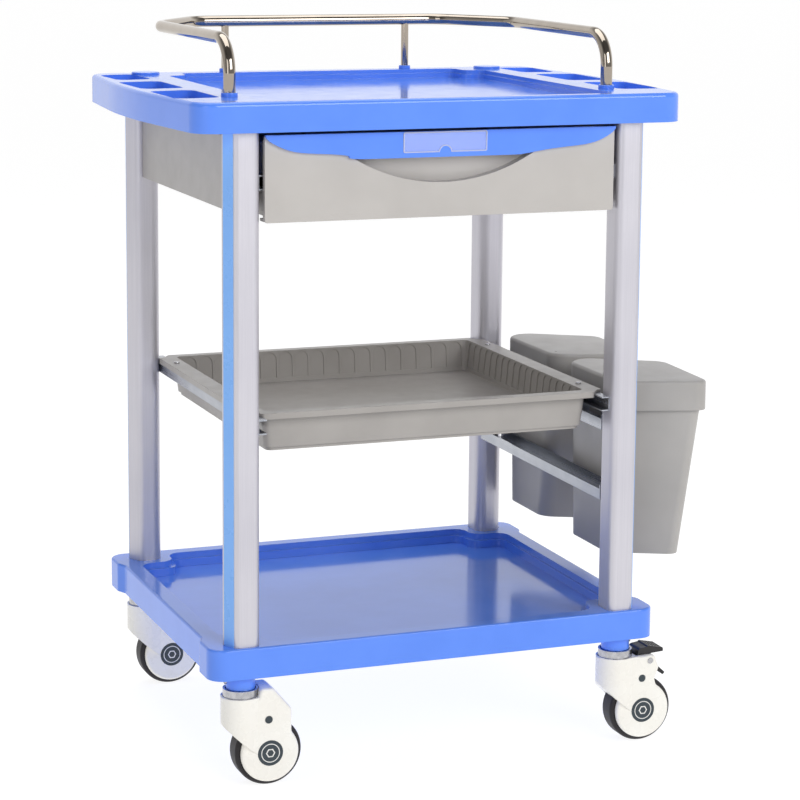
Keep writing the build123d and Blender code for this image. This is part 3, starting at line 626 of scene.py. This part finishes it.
@dataclass
class Drawer:
    """The drawer with its scooped front, blue band and clear label pocket."""

    notch_r: float = 7.0 * MM
    sheet: float = 0.9 * MM
    rim: float = 1.3 * MM
    rim_out: float = 0.3 * MM
    corner_r: float = 2.0 * MM
    arc_steps: int = 16

    def pocket_outline(self, low: Vector, high: Vector, inset: float) -> list[Point]:
        """Outline of the pocket with its thumb notch at the bottom.

        Args:
            low: The pocket's lowest corner.
            high: The pocket's highest corner.
            inset: How far inside the pocket's edge the outline runs.

        Returns:
            Points in X and Z, with as many for any inset.
        """
        middle = (low.x + high.x) / 2
        left, right = low.x + inset, high.x - inset
        bottom, top = low.z + inset, high.z - inset
        radius = max(self.corner_r - inset, 0.3 * MM)
        points: list[Point] = []
        corners = (
            (right - radius, bottom + radius, -90),
            (right - radius, top - radius, 0),
            (left + radius, top - radius, 90),
            (left + radius, bottom + radius, 180),
        )
        for x, z, turn in corners:
            for k in range(5):
                angle = math.radians(turn + k * 22.5)
                points.append((x + radius * math.cos(angle), z + radius * math.sin(angle)))
        notch = self.notch_r + inset
        for k in range(self.arc_steps + 1):
            angle = math.pi - math.pi * k / self.arc_steps
            points.append((middle + notch * math.cos(angle), bottom + max(notch * math.sin(angle) - inset, 0.0)))
        return points

    def label_pocket(self, shop: Workshop) -> None:
        """Clear pocket: a thin sheet inside a raised rim, with a notch to push a card out."""
        low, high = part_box("label_cover")
        back = high.y
        outer = self.pocket_outline(low, high, 0.0)
        inner = self.pocket_outline(low, high, self.rim)
        rim = bmesh.new()
        plate_with_hole(rim, outer, inner, Vector((0, 0, 0)), back, low.y)
        # The rim's paler, more opaque layer is a painted highlight.
        shop.mesh_piece("label_rim", rim, CLEAR_PVC_EDGE_HIGHLIGHT, "drawer")
        mesh = bmesh.new()
        front = back - self.sheet + self.rim_out
        face = [mesh.verts.new((x, front, z)) for x, z in inner]
        rear = [mesh.verts.new((x, back - 0.05 * MM, z)) for x, z in inner]
        count = len(inner)
        for k in range(count):
            n = (k + 1) % count
            mesh.faces.new((face[k], face[n], rear[n], rear[k]))
        mesh.faces.new(face)
        mesh.faces.new(rear)
        pocket = shop.mesh_piece("label_pocket", mesh, CLEAR_PVC, "drawer")
        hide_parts("label_cover")

    def build(self, shop: Workshop) -> None:
        """Dresses the drawer and its housing, and makes the pocket."""
        shop.dress(GREY_ABS, ["drawer_front", "drawer_box"])
        # Painted shade: the housing sides and back take the darker grey because they stand in shade.
        shop.dress(GREY_ABS_SATIN_AND_SHADE, ["housing_sides", "housing_back"])
        shop.dress(BLUE_ABS, ["drawer_band"])
        shop.dress(ZINC_SHEET, ["drawer_runners", "drawer_ties"])
        self.label_pocket(shop)


@dataclass
class MiddleTray:
    """The grey fluted tray between the posts."""

    def build(self, shop: Workshop) -> None:
        """Dresses the tray."""
        shop.dress(GREY_ABS_SATIN_AND_SHADE, ["middle_tray"])


@dataclass
class Bins:
    """Two hung bins with their lids."""

    nodes: Sequence[str] = ("bin_front", "bin_rear", "bin_lid_front", "bin_lid_rear")

    def build(self, shop: Workshop) -> None:
        """Dresses bins and lids."""
        shop.dress(GREY_PP, self.nodes)


@dataclass
class Castor:
    """One swivel castor: shell, wheel, axle discs and, on two of them, a foot brake."""

    corner: Corner
    braked: bool
    ring_r: float = 11.2 * MM
    ring_width: float = 1.0 * MM
    hex_r: float = 5.6 * MM
    hex_width: float = 1.5 * MM
    proud: float = 0.15 * MM
    steps: int = 64

    def marks(self, shop: Workshop) -> None:
        """Prints a plain ring and a hexagon, as on a bolt head, on both discs."""
        name = self.corner.value
        low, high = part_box(f"castor_axle_{name}")
        badge_low, badge_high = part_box(f"castor_badges_{name}")
        centre = (low + high) / 2
        mesh = bmesh.new()
        for side, face in ((-1, badge_low.y), (1, badge_high.y)):
            at = Vector((centre.x, face, centre.z))
            back, front = -side * self.proud, side * self.proud
            plate_with_hole(
                mesh,
                ring_of_points(self.steps, self.ring_r),
                ring_of_points(self.steps, self.ring_r - self.ring_width),
                at, back, front,
            )
            plate_with_hole(
                mesh,
                ring_of_points(6, self.hex_r),
                ring_of_points(6, self.hex_r - self.hex_width),
                at, back, front,
            )
        shop.mesh_piece(f"castor_ring_{name}", mesh, WHITE_INK, f"castor_{name}")

    def build(self, shop: Workshop) -> None:
        """Dresses the castor and prints its discs."""
        name = self.corner.value
        shop.dress(IVORY_NYLON, [f"castor_cover_{name}"])
        shop.dress(BRIGHT_STEEL, [f"castor_axle_{name}"])
        shop.dress(BADGE_ABS, [f"castor_badges_{name}"])
        shop.dress(HUB_NYLON, [f"castor_hub_{name}"])
        shop.dress(TYRE_RUBBER, [f"castor_tyre_{name}"])
        if self.braked:
            shop.dress(BLACK_NYLON, [f"brake_pedal_{name}"])
            shop.dress(BRIGHT_STEEL, [f"brake_pin_{name}"])
        self.marks(shop)


@dataclass
class Softbox:
    """One large soft lamp that looks at a point."""

    name: str
    place: tuple[float, float, float]
    target: tuple[float, float, float]
    size: tuple[float, float]
    watts: float
    tint: str = "#FFFFFF"

    def build(self) -> None:
        """Makes the lamp and turns it to its target."""
        data = bpy.data.lights.new(self.name, "AREA")
        data.shape = "RECTANGLE"
        data.size, data.size_y = self.size
        data.energy = self.watts
        data.color = linear(self.tint)[:3]
        lamp = bpy.data.objects.new(self.name, data)
        bpy.context.scene.collection.objects.link(lamp)
        lamp.location = self.place
        aim = Vector(self.target) - Vector(self.place)
        lamp.rotation_euler = aim.to_track_quat("-Z", "Y").to_euler()
        log.info("%s: softbox of %.0f W", self.name, self.watts)


@dataclass
class Studio:
    """Pale floor, even room light, softboxes and the camera."""

    floor_radius: float = 60.0
    floor_glow: float = 0.88
    room: str = "#FFFFFF"
    wall_strength: float = 1.05
    near_strength: float = 0.34
    overhead_share: float = 0.34
    left_share: float = 0.62
    lens: float = 116.06
    shift_y: float = -0.1
    eye: tuple[float, float, float] = (-1.1163, -2.9235, 1.0192)
    yaw: float = 0.3667
    pitch: float = 0.1657
    roll: float = 0.0087
    lamps: Sequence[Softbox] = (
        Softbox("key_softbox", (1.2, -3.6, 2.3), (0.0, 0.0, 0.45), (2.6, 2.0), 85),
        Softbox("fill_softbox", (-2.6, -2.4, 1.6), (0.0, 0.0, 0.5), (1.4, 2.0), 14),
        Softbox("top_softbox", (0.0, 0.6, 3.2), (0.0, 0.0, 0.6), (2.6, 2.6), 45),
    )

    def floor(self) -> None:
        """Wide translucent floor, lit evenly from below so that shadows on it stay faint."""
        mesh = bmesh.new()
        bmesh.ops.create_circle(mesh, cap_ends=True, segments=96, radius=self.floor_radius)
        data = bpy.data.meshes.new("studio_floor")
        mesh.to_mesh(data)
        mesh.free()
        material = bpy.data.materials.new("paint_white_rolled_floor")
        material.use_nodes = True
        tree = material.node_tree
        tree.nodes.clear()
        where = add_node(tree, "ShaderNodeTexCoord")
        texture = add_node(
            tree, "ShaderNodeTexNoise", values={"Scale": per_metre(6.0)}, links={"Vector": (where, "Object")}
        )
        bump = add_node(
            tree,
            "ShaderNodeBump",
            values={"Distance": 0.02 * MM},
            links={"Height": (texture, "Fac")},
        )
        shader = add_node(
            tree,
            "ShaderNodeBsdfPrincipled",
            values={
                "Base Color": linear("#8C8C8C"),
                "Roughness": 0.85,
                "Specular IOR Level": 0.1,
                "Emission Color": linear(self.room),
                "Emission Strength": self.floor_glow,
            },
            links={"Normal": (bump, "Normal")},
        )
        material.cycles.emission_sampling = "NONE"
        add_node(tree, "ShaderNodeOutputMaterial", links={"Surface": (shader, "BSDF")})
        data.materials.append(material)
        floor = bpy.data.objects.new("studio_floor", data)
        bpy.context.scene.collection.objects.link(floor)

    def room_light(self) -> None:
        """Bright wall low behind the cart, a dim ceiling, and a half-lit room on the viewer's side."""
        world = bpy.data.worlds.new("studio_room")
        bpy.context.scene.world = world
        world.use_nodes = True
        tree = world.node_tree
        tree.nodes.clear()
        direction = add_node(tree, "ShaderNodeTexCoord")
        parts = add_node(tree, "ShaderNodeSeparateXYZ", links={"Vector": (direction, "Generated")})
        strength = add_node(
            tree,
            "ShaderNodeMapRange",
            {"interpolation_type": "SMOOTHSTEP"},
            {"From Min": -0.35, "From Max": 0.25, "To Min": self.near_strength, "To Max": self.wall_strength},
            {"Value": (parts, "Y")},
        )
        height = add_node(
            tree,
            "ShaderNodeMapRange",
            {"interpolation_type": "SMOOTHSTEP"},
            {"From Min": 0.3, "From Max": 0.7, "To Min": 1.0, "To Max": self.overhead_share},
            {"Value": (parts, "Z")},
        )
        sideways = add_node(
            tree,
            "ShaderNodeMapRange",
            {"interpolation_type": "SMOOTHSTEP"},
            {"From Min": -0.75, "From Max": -0.2, "To Min": self.left_share, "To Max": 1.0},
            {"Value": (parts, "X")},
        )
        shade = add_node(
            tree, "ShaderNodeMath", {"operation": "MULTIPLY"}, links={0: (height, "Result"), 1: (sideways, "Result")}
        )
        strength = add_node(
            tree, "ShaderNodeMath", {"operation": "MULTIPLY"}, links={0: (strength, "Result"), 1: (shade, "Value")}
        )
        seen = add_node(tree, "ShaderNodeLightPath")
        level = add_node(
            tree, "ShaderNodeMix", {"data_type": "FLOAT"}, {"B": 1.0},
            {"Factor": (seen, "Is Camera Ray"), "A": (strength, "Value")},
        )
        light = add_node(
            tree,
            "ShaderNodeBackground",
            values={"Color": linear(self.room)},
            links={"Strength": (level, "Result")},
        )
        add_node(tree, "ShaderNodeOutputWorld", links={"Surface": (light, "Background")})

    def camera(self) -> None:
        """Camera a little left of the cart's middle, at the height of its rail."""
        data = bpy.data.cameras.new("camera")
        data.lens = self.lens
        data.sensor_width = 36.0
        data.shift_y = self.shift_y
        data.clip_end = 200.0
        eye = bpy.data.objects.new("camera", data)
        bpy.context.scene.collection.objects.link(eye)
        eye.location = self.eye
        forward = Vector(
            (
                math.sin(self.yaw) * math.cos(self.pitch),
                math.cos(self.yaw) * math.cos(self.pitch),
                -math.sin(self.pitch),
            )
        )
        right = Vector((math.cos(self.yaw), -math.sin(self.yaw), 0.0))
        up = right.cross(forward)
        level, tip = math.cos(self.roll), math.sin(self.roll)
        right, up = right * level + up * tip, up * level - right * tip
        turn = eye.rotation_euler.to_matrix()
        for row in range(3):
            turn[row] = (right[row], up[row], -forward[row])
        eye.rotation_euler = turn.to_euler()
        bpy.context.scene.camera = eye

    def build(self) -> None:
        """Sets floor, light and camera."""
        self.floor()
        self.room_light()
        for lamp in self.lamps:
            lamp.build()
        self.camera()
        bpy.context.scene.view_settings.view_transform = "Standard"


def main() -> None:
    """Builds the cart's looks and its studio."""
    logging.basicConfig(level=logging.INFO, format="%(name)s: %(message)s")
    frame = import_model()
    shop = Workshop(frame)
    Trays().build(shop)
    Frame().build(shop)
    Drawer().build(shop)
    MiddleTray().build(shop)
    Bins().build(shop)
    braked = (Corner.FRONT_RIGHT, Corner.BACK_LEFT)
    for corner in Corner:
        Castor(corner, corner in braked).build(shop)
    Studio().build()


if __name__ == "__main__":
    main()
